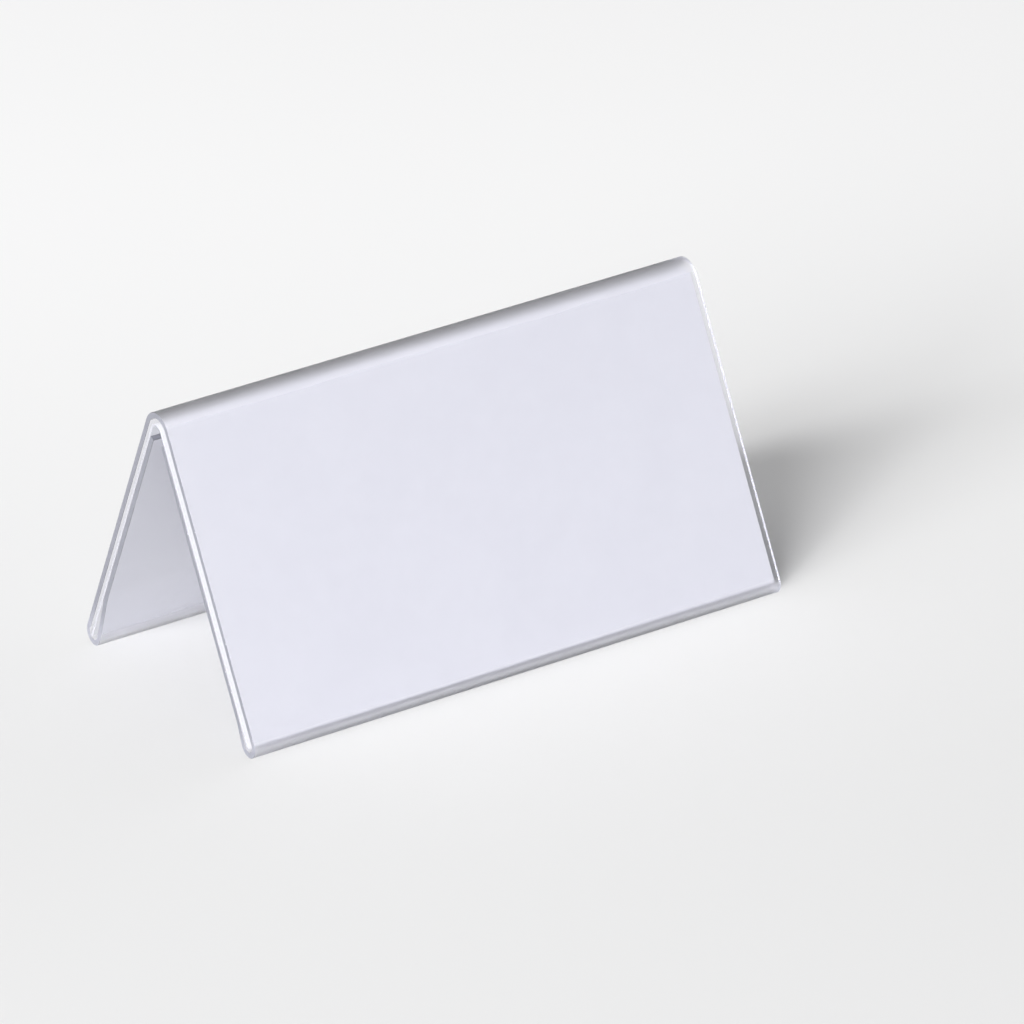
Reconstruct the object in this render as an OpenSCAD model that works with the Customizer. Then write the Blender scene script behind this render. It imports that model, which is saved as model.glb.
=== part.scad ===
// Table name holder: a tent of clear folded sheet with a folded name card in it.
// X runs along the ridge, the front leaf faces -Y and Z is up. The origin is on
// the table, under the middle of the ridge. Sizes are in millimetres.

/* [Name card] */
// Width of the card, along the ridge
card_w = 102; // [60:1:240]
// Height of half the card, from its fold to its lower edge
card_half_h = 54.5; // [35:0.5:110]
// Thickness of the card
card_t = 0.3; // [0.15:0.05:0.5]

/* [Clear sheet] */
// Sheet past each end of the card
end_margin = 0; // [0:0.1:3]
// Thickness of the sheet
sheet_t = 1; // [0.5:0.05:1.2]
// Lean of each leaf from upright, in degrees
leaf_lean = 26.4; // [20:0.2:34]
// Outside radius of the bend along the ridge
ridge_r = 3.8; // [3.2:0.1:6]
// Outside radius of the bend along each foot
foot_r = 2.15; // [1.95:0.05:3]

/* [Card pocket] */
// Clear gap between the front panel and its flap
front_pocket_gap = 1.85; // [1:0.05:2.2]
// Clear gap between the rear panel and its flap
rear_pocket_gap = 1.2; // [1:0.05:2.2]
// Clearance between the card and the flaps that it leans on
card_gap = 0.15; // [0.1:0.05:0.4]
// Clearance between the card's fold and the inside of the ridge
fold_gap = 1.05; // [0.4:0.05:1.8]
// Room under the card's lower edge, inside the foot bend
edge_gap = 0.2; // [0.15:0.05:3]
// Tilt of the flap's lowest stretch from its leaf, in degrees
root_tilt = 6.5; // [5:0.5:12]
// Distance of each flap's free edge below the start of the card's fold
flap_tip_drop = 2; // [1:0.1:6]

/* [Hidden] */
$fn = 96;
clear_tint = [0.86, 0.87, 0.94, 0.5];
card_white = [0.96, 0.96, 0.97];

holder_w = card_w + 2 * end_margin;

// Places across a leaf, measured outwards from the centre of the ridge bend.
panel_in = ridge_r - sheet_t;
foot_across = ridge_r - foot_r;
function flap_out(pocket_gap) = panel_in - pocket_gap;
function flap_in(pocket_gap) = flap_out(pocket_gap) - sheet_t;
function card_mid(pocket_gap) = flap_out(pocket_gap) + card_gap + card_t / 2;

// The card leans on both flaps, so it lies towards the leaf with the narrower pocket.
card_out = (card_mid(front_pocket_gap) + card_mid(rear_pocket_gap)) / 2;
card_back = (card_mid(rear_pocket_gap) - card_out) / cos(leaf_lean);

// The card's fold: its top stays fold_gap under the ridge and its two halves
// run on into the leaves without a kink.
fold_top = panel_in - fold_gap - card_t / 2;
fold_r = (card_out - fold_top * sin(leaf_lean)) / (1 - sin(leaf_lean));
fold_up = fold_top - fold_r;
bend_angle = 180 - 2 * leaf_lean;
fold_join = 10;

// Places along a leaf, measured down it from the centre of the ridge bend.
fold_start = -fold_up * cos(leaf_lean);
card_run = card_half_h - fold_r * bend_angle / 2 * PI / 180;
card_low = fold_start + card_run;
foot_in_r = foot_r - sheet_t;
foot_half_angle = (180 + root_tilt) / 2;

// Room for the card's lower edge below the centre of the foot bend. Lying back raises
// the card's front edge along its leaf and lowers its rear edge.
edge_drop = card_back * sin(leaf_lean);
function edge_room(pocket_gap) =
    sqrt(foot_in_r ^ 2 - (abs(card_mid(pocket_gap) - foot_across) + card_t / 2) ^ 2);
panel_h = card_low + edge_gap
    + max(-edge_drop - edge_room(front_pocket_gap), edge_drop - edge_room(rear_pocket_gap));

// The flap's free edge, and the crease where its tilted root turns parallel to the
// panel: where the root's face at radius r about the foot meets the run's face.
flap_tip = fold_start + flap_tip_drop;
function crease(r, face) =
    panel_h - r * sin(root_tilt) - (face - foot_across + r * cos(root_tilt)) / tan(root_tilt);

ridge_z = foot_r + panel_h * cos(leaf_lean) - foot_across * sin(leaf_lean);

// Stands an end section up on the table: its x becomes Y and its y becomes Z.
module in_section() {
    rotate([90, 0, 90]) children();
}

// Lays the front leaf's own axes in the end section: x across it, outwards from
// the ridge's centre, and y down it.
module on_front_leaf() {
    in_section() translate([0, ridge_z]) rotate(180 - leaf_lean) children();
}

// A flat stretch of sheet or card, seen from its end.
module flat(across, along, thick, length, width) {
    translate([across, along]) linear_extrude(width, center = true) square([thick, length]);
}

// A round bend of sheet or card about the present origin, from its x axis round.
module bend(inner_r, thick, angle, width) {
    rotate_extrude(angle = angle) translate([inner_r, -width / 2]) square([thick, width]);
}

// Outer wall of a leaf, flat from the ridge bend to the foot bend.
module leaf_panel() {
    on_front_leaf() flat(panel_in, 0, sheet_t, panel_h, holder_w);
}

// Round bead along the foot, where the sheet turns back up inside the tent. It has
// an outer and an inner half, which meet under the card's lower edge.
module foot_bend(start) {
    on_front_leaf() translate([foot_across, panel_h]) rotate(start)
        bend(foot_in_r, sheet_t, foot_half_angle, holder_w);
}

// Inner wall of a leaf: the flap that the card leans on, with a tilted root that
// rises from the foot bend and a run parallel to the panel.
module leaf_flap(pocket_gap) {
    foot = [foot_across, panel_h];
    root_side = [cos(root_tilt), sin(root_tilt)];
    inner = flap_in(pocket_gap);
    outer = flap_out(pocket_gap);
    on_front_leaf() linear_extrude(holder_w, center = true) polygon([
        foot - foot_r * root_side,
        [inner, crease(foot_r, inner)],
        [inner, flap_tip],
        [outer, flap_tip],
        [outer, crease(foot_in_r, outer)],
        foot - foot_in_r * root_side
    ]);
}

// One half of the card with its part of the fold, about the fold's centre. The fold
// runs a little past the middle, so that the two halves join there.
module card_half() {
    rotate(180 - leaf_lean) {
        flat(fold_r - card_t / 2, 0, card_t, card_run, card_w);
        mirror([0, 1]) bend(fold_r - card_t / 2, card_t, bend_angle / 2 + fold_join, card_w);
    }
}

module rear() {
    mirror([0, 1, 0]) children();
}

module front_panel() {
    color(clear_tint) leaf_panel();
}

module rear_panel() {
    color(clear_tint) rear() leaf_panel();
}

module ridge_bend() {
    color(clear_tint) in_section() translate([0, ridge_z]) rotate(leaf_lean)
        bend(panel_in, sheet_t, bend_angle, holder_w);
}

module front_foot_outer_bend() {
    color(clear_tint) foot_bend(0);
}

module front_foot_inner_bend() {
    color(clear_tint) foot_bend(foot_half_angle);
}

module rear_foot_outer_bend() {
    color(clear_tint) rear() foot_bend(0);
}

module rear_foot_inner_bend() {
    color(clear_tint) rear() foot_bend(foot_half_angle);
}

module front_flap() {
    color(clear_tint) leaf_flap(front_pocket_gap);
}

module rear_flap() {
    color(clear_tint) rear() leaf_flap(rear_pocket_gap);
}

// One white card, folded once over the two flaps, free to slide out at either end.
module name_card() {
    color(card_white) in_section() translate([card_back, ridge_z + fold_up]) {
        card_half();
        mirror([1, 0]) card_half();
    }
}

front_panel();
ridge_bend();
rear_panel();
front_foot_outer_bend();
front_foot_inner_bend();
front_flap();
rear_foot_outer_bend();
rear_foot_inner_bend();
rear_flap();
name_card();
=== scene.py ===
from math import asin, atan2, cos, pi, radians, sin

import bmesh
import bpy
from mathutils import Matrix, Vector


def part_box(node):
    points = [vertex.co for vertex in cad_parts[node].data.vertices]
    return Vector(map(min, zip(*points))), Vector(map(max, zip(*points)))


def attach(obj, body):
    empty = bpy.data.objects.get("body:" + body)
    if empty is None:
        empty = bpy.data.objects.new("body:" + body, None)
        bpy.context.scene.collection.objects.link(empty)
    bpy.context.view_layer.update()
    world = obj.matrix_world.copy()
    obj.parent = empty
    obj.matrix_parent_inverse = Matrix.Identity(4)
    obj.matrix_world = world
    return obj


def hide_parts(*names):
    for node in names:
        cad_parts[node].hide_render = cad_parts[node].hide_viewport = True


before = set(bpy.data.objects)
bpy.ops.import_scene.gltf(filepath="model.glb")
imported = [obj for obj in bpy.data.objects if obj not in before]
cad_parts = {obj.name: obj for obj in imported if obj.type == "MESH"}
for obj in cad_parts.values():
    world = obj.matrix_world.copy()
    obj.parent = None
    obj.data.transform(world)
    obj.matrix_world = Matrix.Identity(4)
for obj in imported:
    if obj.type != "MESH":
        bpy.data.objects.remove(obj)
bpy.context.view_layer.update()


# Clear sheet. One strip of clear rigid plastic film, folded warm into a tent that stands by itself:
# a round ridge, a flat panel down each leaf, a round bead along each foot, and a flap that turns
# back up inside the leaf and leaves a pocket for the card. Nothing fastens it.
scene = bpy.context.scene
mm = 0.001
sheet_t = 1 * mm
ridge_r = 3.8 * mm
foot_r = 2.15 * mm
front_pocket_gap = 1.85 * mm
rear_pocket_gap = 1.2 * mm
root_tilt = radians(6.5)
sheet_edge_round = 0.08 * mm

ridge_mid_r = ridge_r - sheet_t / 2
foot_mid_r = foot_r - sheet_t / 2
foot_across = ridge_r - foot_r
panel_in = ridge_r - sheet_t

# The panel touches the ridge's circle and the foot's circle, so the two centres give its lean.
ridge_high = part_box("ridge_bend")[1]
foot_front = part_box("front_foot_outer_bend")[0].y
foot_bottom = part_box("front_foot_inner_bend")[0].z
half_width = ridge_high.x
ridge_centre = Vector((-half_width, 0, ridge_high.z - ridge_r))
foot_centre = Vector((-half_width, foot_front + foot_r, foot_bottom + foot_r))
reach = foot_centre - ridge_centre
leaf_lean = atan2(-reach.y, -reach.z) - asin(foot_across / reach.length)
down_leaf = Vector((0, -sin(leaf_lean), -cos(leaf_lean)))
half_bend = pi / 2 - leaf_lean

panel_run = reach.dot(down_leaf)
root_way = Matrix.Rotation(pi + root_tilt, 3, "X") @ down_leaf
flap_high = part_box("front_flap")[1].z
flap_top = ridge_centre.z + (panel_in - front_pocket_gap) * sin(leaf_lean) - flap_high
flap_tip_along = flap_top / cos(leaf_lean)


def run_on(bm, tip, way, parts):
    """Draws an end profile straight on from its tip, in equal parts, and gives its new tip."""
    for _ in range(parts):
        tip = bmesh.ops.extrude_vert_indiv(bm, verts=[tip])["verts"][0]
        bmesh.ops.translate(bm, verts=[tip], vec=way / parts)
    return tip


def bend_on(bm, tip, centre, angle, parts):
    """Draws an end profile on round a bend, about a line along the ridge, and gives its new tip."""
    drawn = bmesh.ops.spin(bm, geom=[tip], cent=centre, axis=(1, 0, 0), angle=angle, steps=parts)
    return next(v for v in drawn["geom_last"] if isinstance(v, bmesh.types.BMVert))


def turn_to_rear(bm, drawn_before, middle):
    """Turns what was drawn last over to the rear, about an upright plane along the ridge."""
    to_middle = Matrix.Translation((0, -middle, 0))
    bmesh.ops.scale(bm, vec=(1, -1, 1), verts=bm.verts[drawn_before:], space=to_middle)


def fold_piece(bm, name, width, thickness, edge_round, face_finish, edge_finish):
    """Draws an end profile out to its width and gives it its thickness and finishes."""
    drawn = bmesh.ops.extrude_edge_only(bm, edges=bm.edges[:])
    far_end = [v for v in drawn["geom"] if isinstance(v, bmesh.types.BMVert)]
    bmesh.ops.translate(bm, verts=far_end, vec=(width, 0, 0))
    bmesh.ops.recalc_face_normals(bm, faces=bm.faces[:])
    for face in bm.faces:
        face.smooth = True

    mesh = bpy.data.meshes.new(name)
    bm.to_mesh(mesh)
    bm.free()
    piece = bpy.data.objects.new(name, mesh)
    scene.collection.objects.link(piece)
    mesh.materials.append(face_finish)
    mesh.materials.append(edge_finish)

    wall = piece.modifiers.new("wall", "SOLIDIFY")
    wall.thickness = thickness
    wall.offset = 0
    wall.use_even_offset = True
    wall.material_offset_rim = 1
    eased = piece.modifiers.new("eased_edges", "BEVEL")
    eased.width = edge_round
    eased.affect = "EDGES"
    eased.segments = 2
    eased.profile = 0.5
    eased.material = -1
    eased.limit_method = "ANGLE"
    eased.angle_limit = radians(50)
    eased.harden_normals = True
    return piece


def handling_marks():
    """Makes the marks of handling: soft smears, and hairlines along the way that the card slides."""
    group = bpy.data.node_groups.new("handling_marks", "ShaderNodeTree")
    group.interface.new_socket("Place", in_out="INPUT", socket_type="NodeSocketVector")
    group.interface.new_socket("Smear Scale", in_out="INPUT", socket_type="NodeSocketFloat")
    group.interface.new_socket("Hairline Scale", in_out="INPUT", socket_type="NodeSocketFloat")
    group.interface.new_socket("Smears", in_out="OUTPUT", socket_type="NodeSocketFloat")
    group.interface.new_socket("Hairlines", in_out="OUTPUT", socket_type="NodeSocketFloat")
    nodes = group.nodes
    links = group.links
    given = nodes.new("NodeGroupInput")
    result = nodes.new("NodeGroupOutput")

    cloud = nodes.new("ShaderNodeTexNoise")
    cloud.inputs["Detail"].default_value = 4
    cloud.inputs["Distortion"].default_value = 0.8
    links.new(given.outputs["Place"], cloud.inputs["Vector"])
    links.new(given.outputs["Smear Scale"], cloud.inputs["Scale"])
    smears = nodes.new("ShaderNodeMapRange")
    smears.inputs["From Min"].default_value = 0.42
    smears.inputs["From Max"].default_value = 0.72
    links.new(cloud.outputs["Fac"], smears.inputs["Value"])
    links.new(smears.outputs["Result"], result.inputs["Smears"])

    drawn_out = nodes.new("ShaderNodeMapping")
    drawn_out.inputs["Scale"].default_value = (0.03, 1, 1)
    links.new(given.outputs["Place"], drawn_out.inputs["Vector"])
    streak = nodes.new("ShaderNodeTexNoise")
    streak.inputs["Detail"].default_value = 2
    links.new(drawn_out.outputs["Vector"], streak.inputs["Vector"])
    links.new(given.outputs["Hairline Scale"], streak.inputs["Scale"])
    hairlines = nodes.new("ShaderNodeMapRange")
    hairlines.inputs["From Min"].default_value = 0.66
    hairlines.inputs["From Max"].default_value = 0.74
    links.new(streak.outputs["Fac"], hairlines.inputs["Value"])
    links.new(hairlines.outputs["Result"], result.inputs["Hairlines"])
    return group


def marks_on(material, smear_scale, hairline_scale):
    """Places the marks of handling in a material, with its own scales per metre."""
    nodes = material.node_tree.nodes
    place = nodes.new("ShaderNodeTexCoord")
    marks = nodes.new("ShaderNodeGroup")
    marks.node_tree = handling
    marks.inputs["Smear Scale"].default_value = smear_scale
    marks.inputs["Hairline Scale"].default_value = hairline_scale
    material.node_tree.links.new(place.outputs["Object"], marks.inputs["Place"])
    return place, marks


def add_on(material, value, weight, base):
    """Gives value times weight plus base, where base is a number or another node's output."""
    total = material.node_tree.nodes.new("ShaderNodeMath")
    total.operation = "MULTIPLY_ADD"
    material.node_tree.links.new(value, total.inputs[0])
    total.inputs[1].default_value = weight
    if isinstance(base, float):
        total.inputs[2].default_value = base
    else:
        material.node_tree.links.new(base, total.inputs[2])
    return total.outputs["Value"]


def tint_between(material, amount, plain, marked):
    """Mixes two colours by a mask."""
    blend = material.node_tree.nodes.new("ShaderNodeMix")
    blend.data_type = "RGBA"
    material.node_tree.links.new(amount, blend.inputs["Factor"])
    blend.inputs["A"].default_value = (*plain, 1)
    blend.inputs["B"].default_value = (*marked, 1)
    return blend.outputs["Result"]


def relief(material, height, strength, depth):
    """Raises a surface by a height, as fine as depth in metres."""
    bump = material.node_tree.nodes.new("ShaderNodeBump")
    bump.inputs["Strength"].default_value = strength
    bump.inputs["Distance"].default_value = depth
    material.node_tree.links.new(height, bump.inputs["Height"])
    return bump.outputs["Normal"]


def noise_on(material, place, scale, detail):
    """Lays plain noise on a material, with its scale per metre."""
    noise = material.node_tree.nodes.new("ShaderNodeTexNoise")
    noise.inputs["Scale"].default_value = scale
    noise.inputs["Detail"].default_value = detail
    material.node_tree.links.new(place, noise.inputs["Vector"])
    return noise.outputs["Fac"]


def lit_through(material):
    """Lets lamps and bounced light through a clear material to what lies behind it."""
    nodes = material.node_tree.nodes
    links = material.node_tree.links
    through = nodes.new("ShaderNodeBsdfTransparent")
    through.inputs["Color"].default_value = (0.985, 0.985, 0.99, 1)
    path = nodes.new("ShaderNodeLightPath")
    lighting_ray = nodes.new("ShaderNodeMath")
    lighting_ray.operation = "MAXIMUM"
    links.new(path.outputs["Is Shadow Ray"], lighting_ray.inputs[0])
    links.new(path.outputs["Is Diffuse Ray"], lighting_ray.inputs[1])
    mix = nodes.new("ShaderNodeMixShader")
    links.new(lighting_ray.outputs["Value"], mix.inputs["Fac"])
    links.new(nodes["Principled BSDF"].outputs["BSDF"], mix.inputs[1])
    links.new(through.outputs["BSDF"], mix.inputs[2])
    links.new(mix.outputs["Shader"], nodes["Material Output"].inputs["Surface"])


handling = handling_marks()
plastic_ior = 1.53

film = bpy.data.materials.new("clear_film")
film.use_nodes = True
place, marks = marks_on(film, smear_scale=55, hairline_scale=1500)
shader = film.node_tree.nodes["Principled BSDF"]
shader.inputs["IOR"].default_value = plastic_ior
shader.inputs["Transmission Weight"].default_value = 1
links = film.node_tree.links
tint = tint_between(
    film, marks.outputs["Smears"], plain=(0.925, 0.926, 0.968), marked=(0.91, 0.911, 0.955)
)
links.new(tint, shader.inputs["Base Color"])
gloss = add_on(film, marks.outputs["Smears"], weight=0.035, base=0.025)
gloss = add_on(film, marks.outputs["Hairlines"], weight=0.08, base=gloss)

# Bending the sheet warm dulls it a little, along the ridge and the feet.
level = film.node_tree.nodes.new("ShaderNodeSeparateXYZ")
links.new(place.outputs["Object"], level.inputs["Vector"])
rise = film.node_tree.nodes.new("ShaderNodeMapRange")
rise.inputs["From Max"].default_value = ridge_high.z
links.new(level.outputs["Z"], rise.inputs["Value"])
bends = film.node_tree.nodes.new("ShaderNodeValToRGB")
bends.color_ramp.elements[0].position = 0.03
bends.color_ramp.elements[0].color = (1, 1, 1, 1)
bends.color_ramp.elements[1].position = 0.98
bends.color_ramp.elements[1].color = (0.6, 0.6, 0.6, 1)
bends.color_ramp.elements.new(0.08).color = (0, 0, 0, 1)
bends.color_ramp.elements.new(0.93).color = (0, 0, 0, 1)
links.new(rise.outputs["Result"], bends.inputs["Fac"])
gloss = add_on(film, bends.outputs["Color"], weight=0.46, base=gloss)
links.new(gloss, shader.inputs["Roughness"])
rolled = noise_on(film, place.outputs["Object"], scale=70, detail=1)
links.new(relief(film, rolled, strength=0.03, depth=0.05 * mm), shader.inputs["Normal"])
lit_through(film)

cut_film = bpy.data.materials.new("cut_film_edge")
cut_film.use_nodes = True
place, marks = marks_on(cut_film, smear_scale=700, hairline_scale=5200)
shader = cut_film.node_tree.nodes["Principled BSDF"]
shader.inputs["IOR"].default_value = plastic_ior
shader.inputs["Transmission Weight"].default_value = 0.65
links = cut_film.node_tree.links
tint = tint_between(
    cut_film, marks.outputs["Smears"], plain=(0.51, 0.52, 0.61), marked=(0.54, 0.55, 0.64)
)
links.new(tint, shader.inputs["Base Color"])
gloss = add_on(cut_film, marks.outputs["Smears"], weight=0.04, base=0.4)
links.new(gloss, shader.inputs["Roughness"])
sheared = noise_on(cut_film, place.outputs["Object"], scale=4000, detail=2)
links.new(relief(cut_film, sheared, strength=0.04, depth=0.01 * mm), shader.inputs["Normal"])
lit_through(cut_film)


def sheet_leaf(bm, top, pocket_gap):
    """Draws a leaf from the top of the ridge round to the free edge of its flap."""
    flap_mid = panel_in - pocket_gap - sheet_t / 2
    root_run = (flap_mid - foot_across + foot_mid_r * cos(root_tilt)) / sin(root_tilt)
    crease_along = panel_run - foot_mid_r * sin(root_tilt) - root_run * cos(root_tilt)
    tip = bend_on(bm, top, ridge_centre, half_bend, parts=24)
    tip = run_on(bm, tip, down_leaf * panel_run, parts=24)
    tip = bend_on(bm, tip, foot_centre, pi + root_tilt, parts=56)
    tip = run_on(bm, tip, root_way * root_run, parts=8)
    run_on(bm, tip, -down_leaf * (crease_along - flap_tip_along), parts=20)


bm = bmesh.new()
top = bm.verts.new(ridge_centre + Vector((0, 0, ridge_mid_r)))
sheet_leaf(bm, top, rear_pocket_gap)
turn_to_rear(bm, drawn_before=1, middle=0)
sheet_leaf(bm, top, front_pocket_gap)
sheet = fold_piece(bm, "clear_sheet", 2 * half_width, sheet_t, sheet_edge_round, film, cut_film)
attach(sheet, "holder")
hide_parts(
    "front_panel", "ridge_bend", "rear_panel",
    "front_foot_outer_bend", "front_foot_inner_bend", "front_flap",
    "rear_foot_outer_bend", "rear_foot_inner_bend", "rear_flap",
)


# Name card. One rectangle of smooth white card, folded once by hand into two halves that lie over
# the flaps, in the pockets, with the fold under the ridge. It is held by nothing but the sheet
# round it, and slides out at either end.
card_t = 0.3 * mm
card_gap = 0.15 * mm
card_edge_round = 0.05 * mm

card_low, card_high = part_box("name_card")
card_back = (card_low.y + card_high.y) / 2
card_out = panel_in - (front_pocket_gap + rear_pocket_gap) / 2 + card_gap + card_t / 2
fold_top = card_high.z - card_t / 2 - ridge_centre.z
fold_r = (card_out - fold_top * sin(leaf_lean)) / (1 - sin(leaf_lean))
fold_centre = Vector((card_low.x, card_back, ridge_centre.z + fold_top - fold_r))
card_drop = fold_centre.z + (fold_r - card_t / 2) * sin(leaf_lean) - card_low.z

card_face = bpy.data.materials.new("white_card")
card_face.use_nodes = True
place, marks = marks_on(card_face, smear_scale=90, hairline_scale=2600)
nodes = card_face.node_tree.nodes
links = card_face.node_tree.links
shader = nodes["Principled BSDF"]
fibre = noise_on(card_face, place.outputs["Object"], scale=2600, detail=5)
pulp = noise_on(card_face, place.outputs["Object"], scale=380, detail=2)
tone = add_on(card_face, fibre, weight=0.5, base=0.0)
tone = add_on(card_face, pulp, weight=0.5, base=tone)
paper = nodes.new("ShaderNodeValToRGB")
paper.color_ramp.elements[0].position = 0.35
paper.color_ramp.elements[0].color = (0.862, 0.865, 0.912, 1)
paper.color_ramp.elements[1].position = 0.65
paper.color_ramp.elements[1].color = (0.882, 0.885, 0.932, 1)
links.new(tone, paper.inputs["Fac"])
links.new(paper.outputs["Color"], shader.inputs["Base Color"])
dullness = add_on(card_face, marks.outputs["Smears"], weight=-0.1, base=0.85)
links.new(dullness, shader.inputs["Roughness"])

# Bending the card raises its coat into fine lines along the fold.
height = nodes.new("ShaderNodeSeparateXYZ")
links.new(place.outputs["Object"], height.inputs["Vector"])
bent = nodes.new("ShaderNodeMapRange")
bent.inputs["From Min"].default_value = fold_centre.z + fold_r * sin(leaf_lean)
bent.inputs["From Max"].default_value = fold_centre.z + fold_r
links.new(height.outputs["Z"], bent.inputs["Value"])
cracked = nodes.new("ShaderNodeMath")
cracked.operation = "MULTIPLY"
links.new(bent.outputs["Result"], cracked.inputs[0])
links.new(marks.outputs["Hairlines"], cracked.inputs[1])
raised = add_on(card_face, cracked.outputs["Value"], weight=1.5, base=fibre)
links.new(relief(card_face, raised, strength=0.25, depth=0.03 * mm), shader.inputs["Normal"])

card_edge = bpy.data.materials.new("card_cut_edge_painted_shade")
card_edge.use_nodes = True
place, marks = marks_on(card_edge, smear_scale=900, hairline_scale=9000)
shader = card_edge.node_tree.nodes["Principled BSDF"]
links = card_edge.node_tree.links
shader.inputs["Roughness"].default_value = 0.95
# The card's cut edge is painted at about half the brightness of its faces: painted shade in its
# rough, fibrous end. The smears on it are marks of handling.
tint = tint_between(
    card_edge, marks.outputs["Smears"], plain=(0.45, 0.455, 0.50), marked=(0.42, 0.425, 0.465)
)
links.new(tint, shader.inputs["Base Color"])
torn = noise_on(card_edge, place.outputs["Object"], scale=9000, detail=4)
links.new(relief(card_edge, torn, strength=0.4, depth=0.03 * mm), shader.inputs["Normal"])


def card_half(bm, top):
    """Draws half of the card from the top of its fold to its lower edge."""
    tip = bend_on(bm, top, fold_centre, half_bend, parts=20)
    run_on(bm, tip, down_leaf * card_drop / cos(leaf_lean), parts=20)


bm = bmesh.new()
top = bm.verts.new(fold_centre + Vector((0, 0, fold_r)))
card_half(bm, top)
turn_to_rear(bm, drawn_before=1, middle=card_back)
card_half(bm, top)
card_width = card_high.x - card_low.x
card = fold_piece(bm, "folded_card", card_width, card_t, card_edge_round, card_face, card_edge)
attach(card, "card")
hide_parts("name_card")


# Floor. A wide plain sheet of pale matt board that the holder stands on. Its colour is painted with
# shade: a little darker in front of the holder, dark well behind it, and a little darker all round
# it, far off.
painted_near_shade = (0.80, 0.80, 0.80, 1)
bright_tone = (0.96, 0.96, 0.96, 1)
painted_far_shade = (0.36, 0.36, 0.37, 1)

bm = bmesh.new()
bmesh.ops.create_circle(bm, cap_ends=True, segments=96, radius=6)
floor_mesh = bpy.data.meshes.new("floor")
bm.to_mesh(floor_mesh)
bm.free()
floor = bpy.data.objects.new("floor", floor_mesh)
scene.collection.objects.link(floor)
board = bpy.data.materials.new("pale_board")
board.use_nodes = True
nodes = board.node_tree.nodes
links = board.node_tree.links
shader = nodes["Principled BSDF"]
shader.inputs["Roughness"].default_value = 1
shader.inputs["Specular IOR Level"].default_value = 0.05
place = nodes.new("ShaderNodeTexCoord")
distance = nodes.new("ShaderNodeVectorMath")
distance.operation = "DOT_PRODUCT"
distance.inputs[1].default_value = (0.53, 0.85, 0)
links.new(place.outputs["Object"], distance.inputs[0])
depth = nodes.new("ShaderNodeMapRange")
depth.inputs["From Min"].default_value = -0.13
depth.inputs["From Max"].default_value = 0.42
links.new(distance.outputs["Value"], depth.inputs["Value"])
# Painted shade along the board: darker in front of the holder, brightest just behind it, and dark
# well behind it.
shade = nodes.new("ShaderNodeValToRGB")
shade.color_ramp.interpolation = "EASE"
shade.color_ramp.elements[0].position = 0.08
shade.color_ramp.elements[0].color = painted_near_shade
shade.color_ramp.elements[1].color = painted_far_shade
shade.color_ramp.elements.new(0.6).color = bright_tone
shade.color_ramp.elements.new(0.73).color = bright_tone
links.new(depth.outputs["Result"], shade.inputs["Fac"])
# Painted shade all round the holder, far off: the board's colour is scaled down with distance.
away = nodes.new("ShaderNodeVectorMath")
away.operation = "LENGTH"
links.new(place.outputs["Object"], away.inputs[0])
dim = nodes.new("ShaderNodeMapRange")
dim.inputs["From Min"].default_value = 0.3
dim.inputs["From Max"].default_value = 1
dim.inputs["To Min"].default_value = 1
dim.inputs["To Max"].default_value = 0.5
links.new(away.outputs["Value"], dim.inputs["Value"])
dimmed = nodes.new("ShaderNodeVectorMath")
dimmed.operation = "SCALE"
links.new(shade.outputs["Color"], dimmed.inputs[0])
links.new(dim.outputs["Result"], dimmed.inputs["Scale"])
links.new(dimmed.outputs["Vector"], shader.inputs["Base Color"])
floor_mesh.materials.append(board)


# Light. A large soft lamp high on the left, a softbox low on the left that shines in under the
# tent, and a pale ceiling.
def soft_light(name, way, far, size, energy):
    """Hangs a round soft lamp that faces the holder."""
    data = bpy.data.lights.new(name, "AREA")
    data.shape = "DISK"
    data.size = size
    data.energy = energy
    lamp = bpy.data.objects.new(name, data)
    lamp.location = way.normalized() * far
    lamp.rotation_euler = way.to_track_quat("Z", "Y").to_euler()
    lamp.visible_camera = False
    scene.collection.objects.link(lamp)


soft_light("high_lamp", Vector((-0.68, -0.31, 0.665)), far=5, size=2.2, energy=147)
soft_light("low_softbox", Vector((-0.95, -0.24, 0.22)), far=3, size=2, energy=110)

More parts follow.
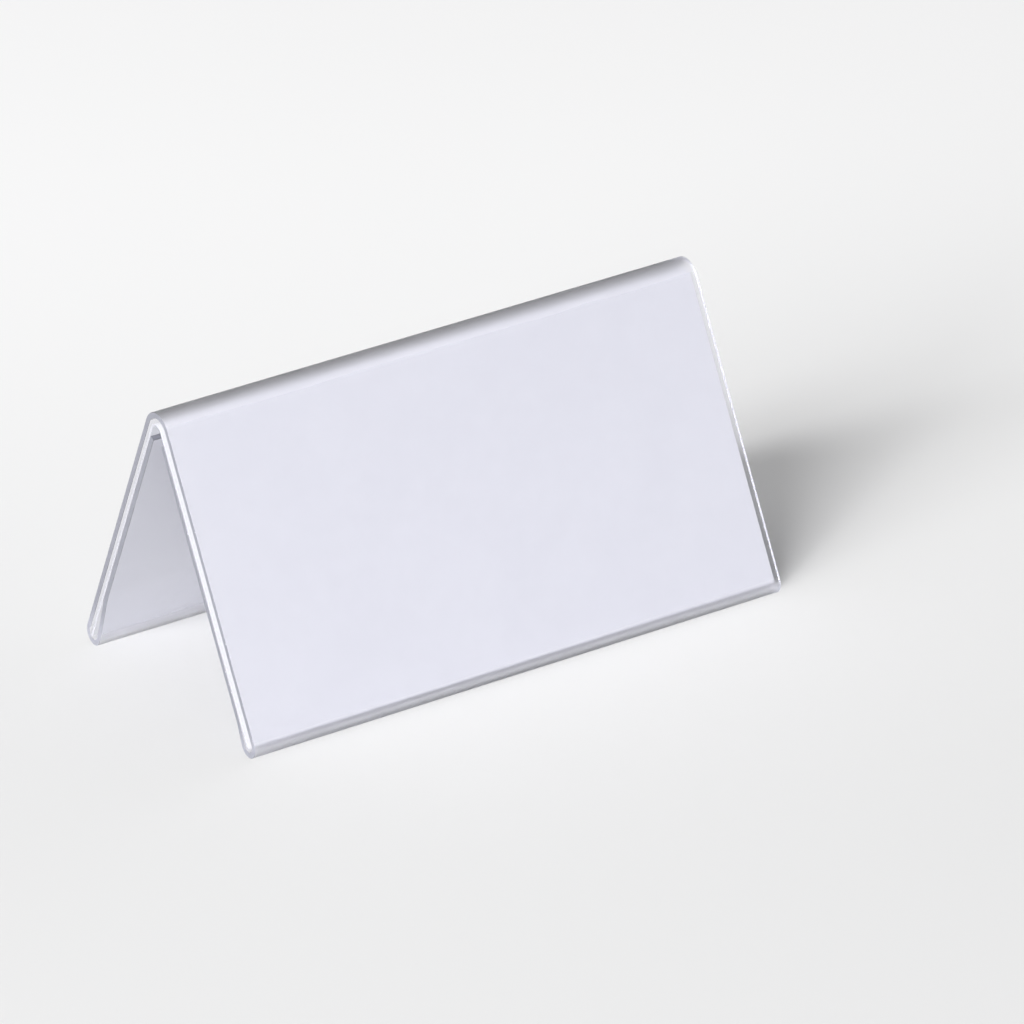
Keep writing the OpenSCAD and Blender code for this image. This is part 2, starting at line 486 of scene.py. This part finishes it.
horizon_tone = (0.155, 0.155, 0.16, 1)
ceiling_tone = (0.58, 0.58, 0.58, 1)
overhead = Vector((0.1, 0.25, 0.96))
room = bpy.data.worlds.new("pale_room")
room.use_nodes = True
nodes = room.node_tree.nodes
links = room.node_tree.links
place = nodes.new("ShaderNodeTexCoord")
towards = nodes.new("ShaderNodeVectorMath")
towards.operation = "DOT_PRODUCT"
towards.inputs[1].default_value = overhead.normalized()
links.new(place.outputs["Generated"], towards.inputs[0])
spread = nodes.new("ShaderNodeMapRange")
spread.interpolation_type = "SMOOTHSTEP"
spread.inputs["From Min"].default_value = 0.35
spread.inputs["From Max"].default_value = 0.95
links.new(towards.outputs["Value"], spread.inputs["Value"])
ceiling = nodes.new("ShaderNodeValToRGB")
ceiling.color_ramp.elements[0].color = horizon_tone
ceiling.color_ramp.elements[1].color = ceiling_tone
links.new(spread.outputs["Result"], ceiling.inputs["Fac"])
links.new(ceiling.outputs["Color"], nodes["Background"].inputs["Color"])
scene.world = room
scene.view_settings.view_transform = "Standard"


# Camera. A long lens at the photograph's angle, a little off level, with the holder a little left of
# the middle of its view.
image_px = 1024
focal_px = 9500
sensor = 36
view_turn = radians(-31.86)
view_lift = radians(26.19)
view_roll = radians(-1.74)
aim = Vector((-0.4 * mm, 0, 22 * mm))
aim_right = 13.643 * mm
aim_up = -2.099 * mm
far_away = 1561.7 * mm

back = Vector((sin(view_turn) * cos(view_lift), -cos(view_turn) * cos(view_lift), sin(view_lift)))
level_right = Vector((cos(view_turn), sin(view_turn), 0))
level_up = back.cross(level_right)
right = level_right * cos(view_roll) + level_up * sin(view_roll)
up = level_up * cos(view_roll) - level_right * sin(view_roll)
camera_data = bpy.data.cameras.new("camera")
camera_data.sensor_width = sensor
camera_data.lens = focal_px / image_px * sensor
camera = bpy.data.objects.new("camera", camera_data)
turned = Matrix((right, up, back)).transposed().to_4x4()
stand = aim + right * aim_right + up * aim_up + back * far_away
camera.matrix_world = Matrix.Translation(stand) @ turned
scene.collection.objects.link(camera)
scene.camera = camera
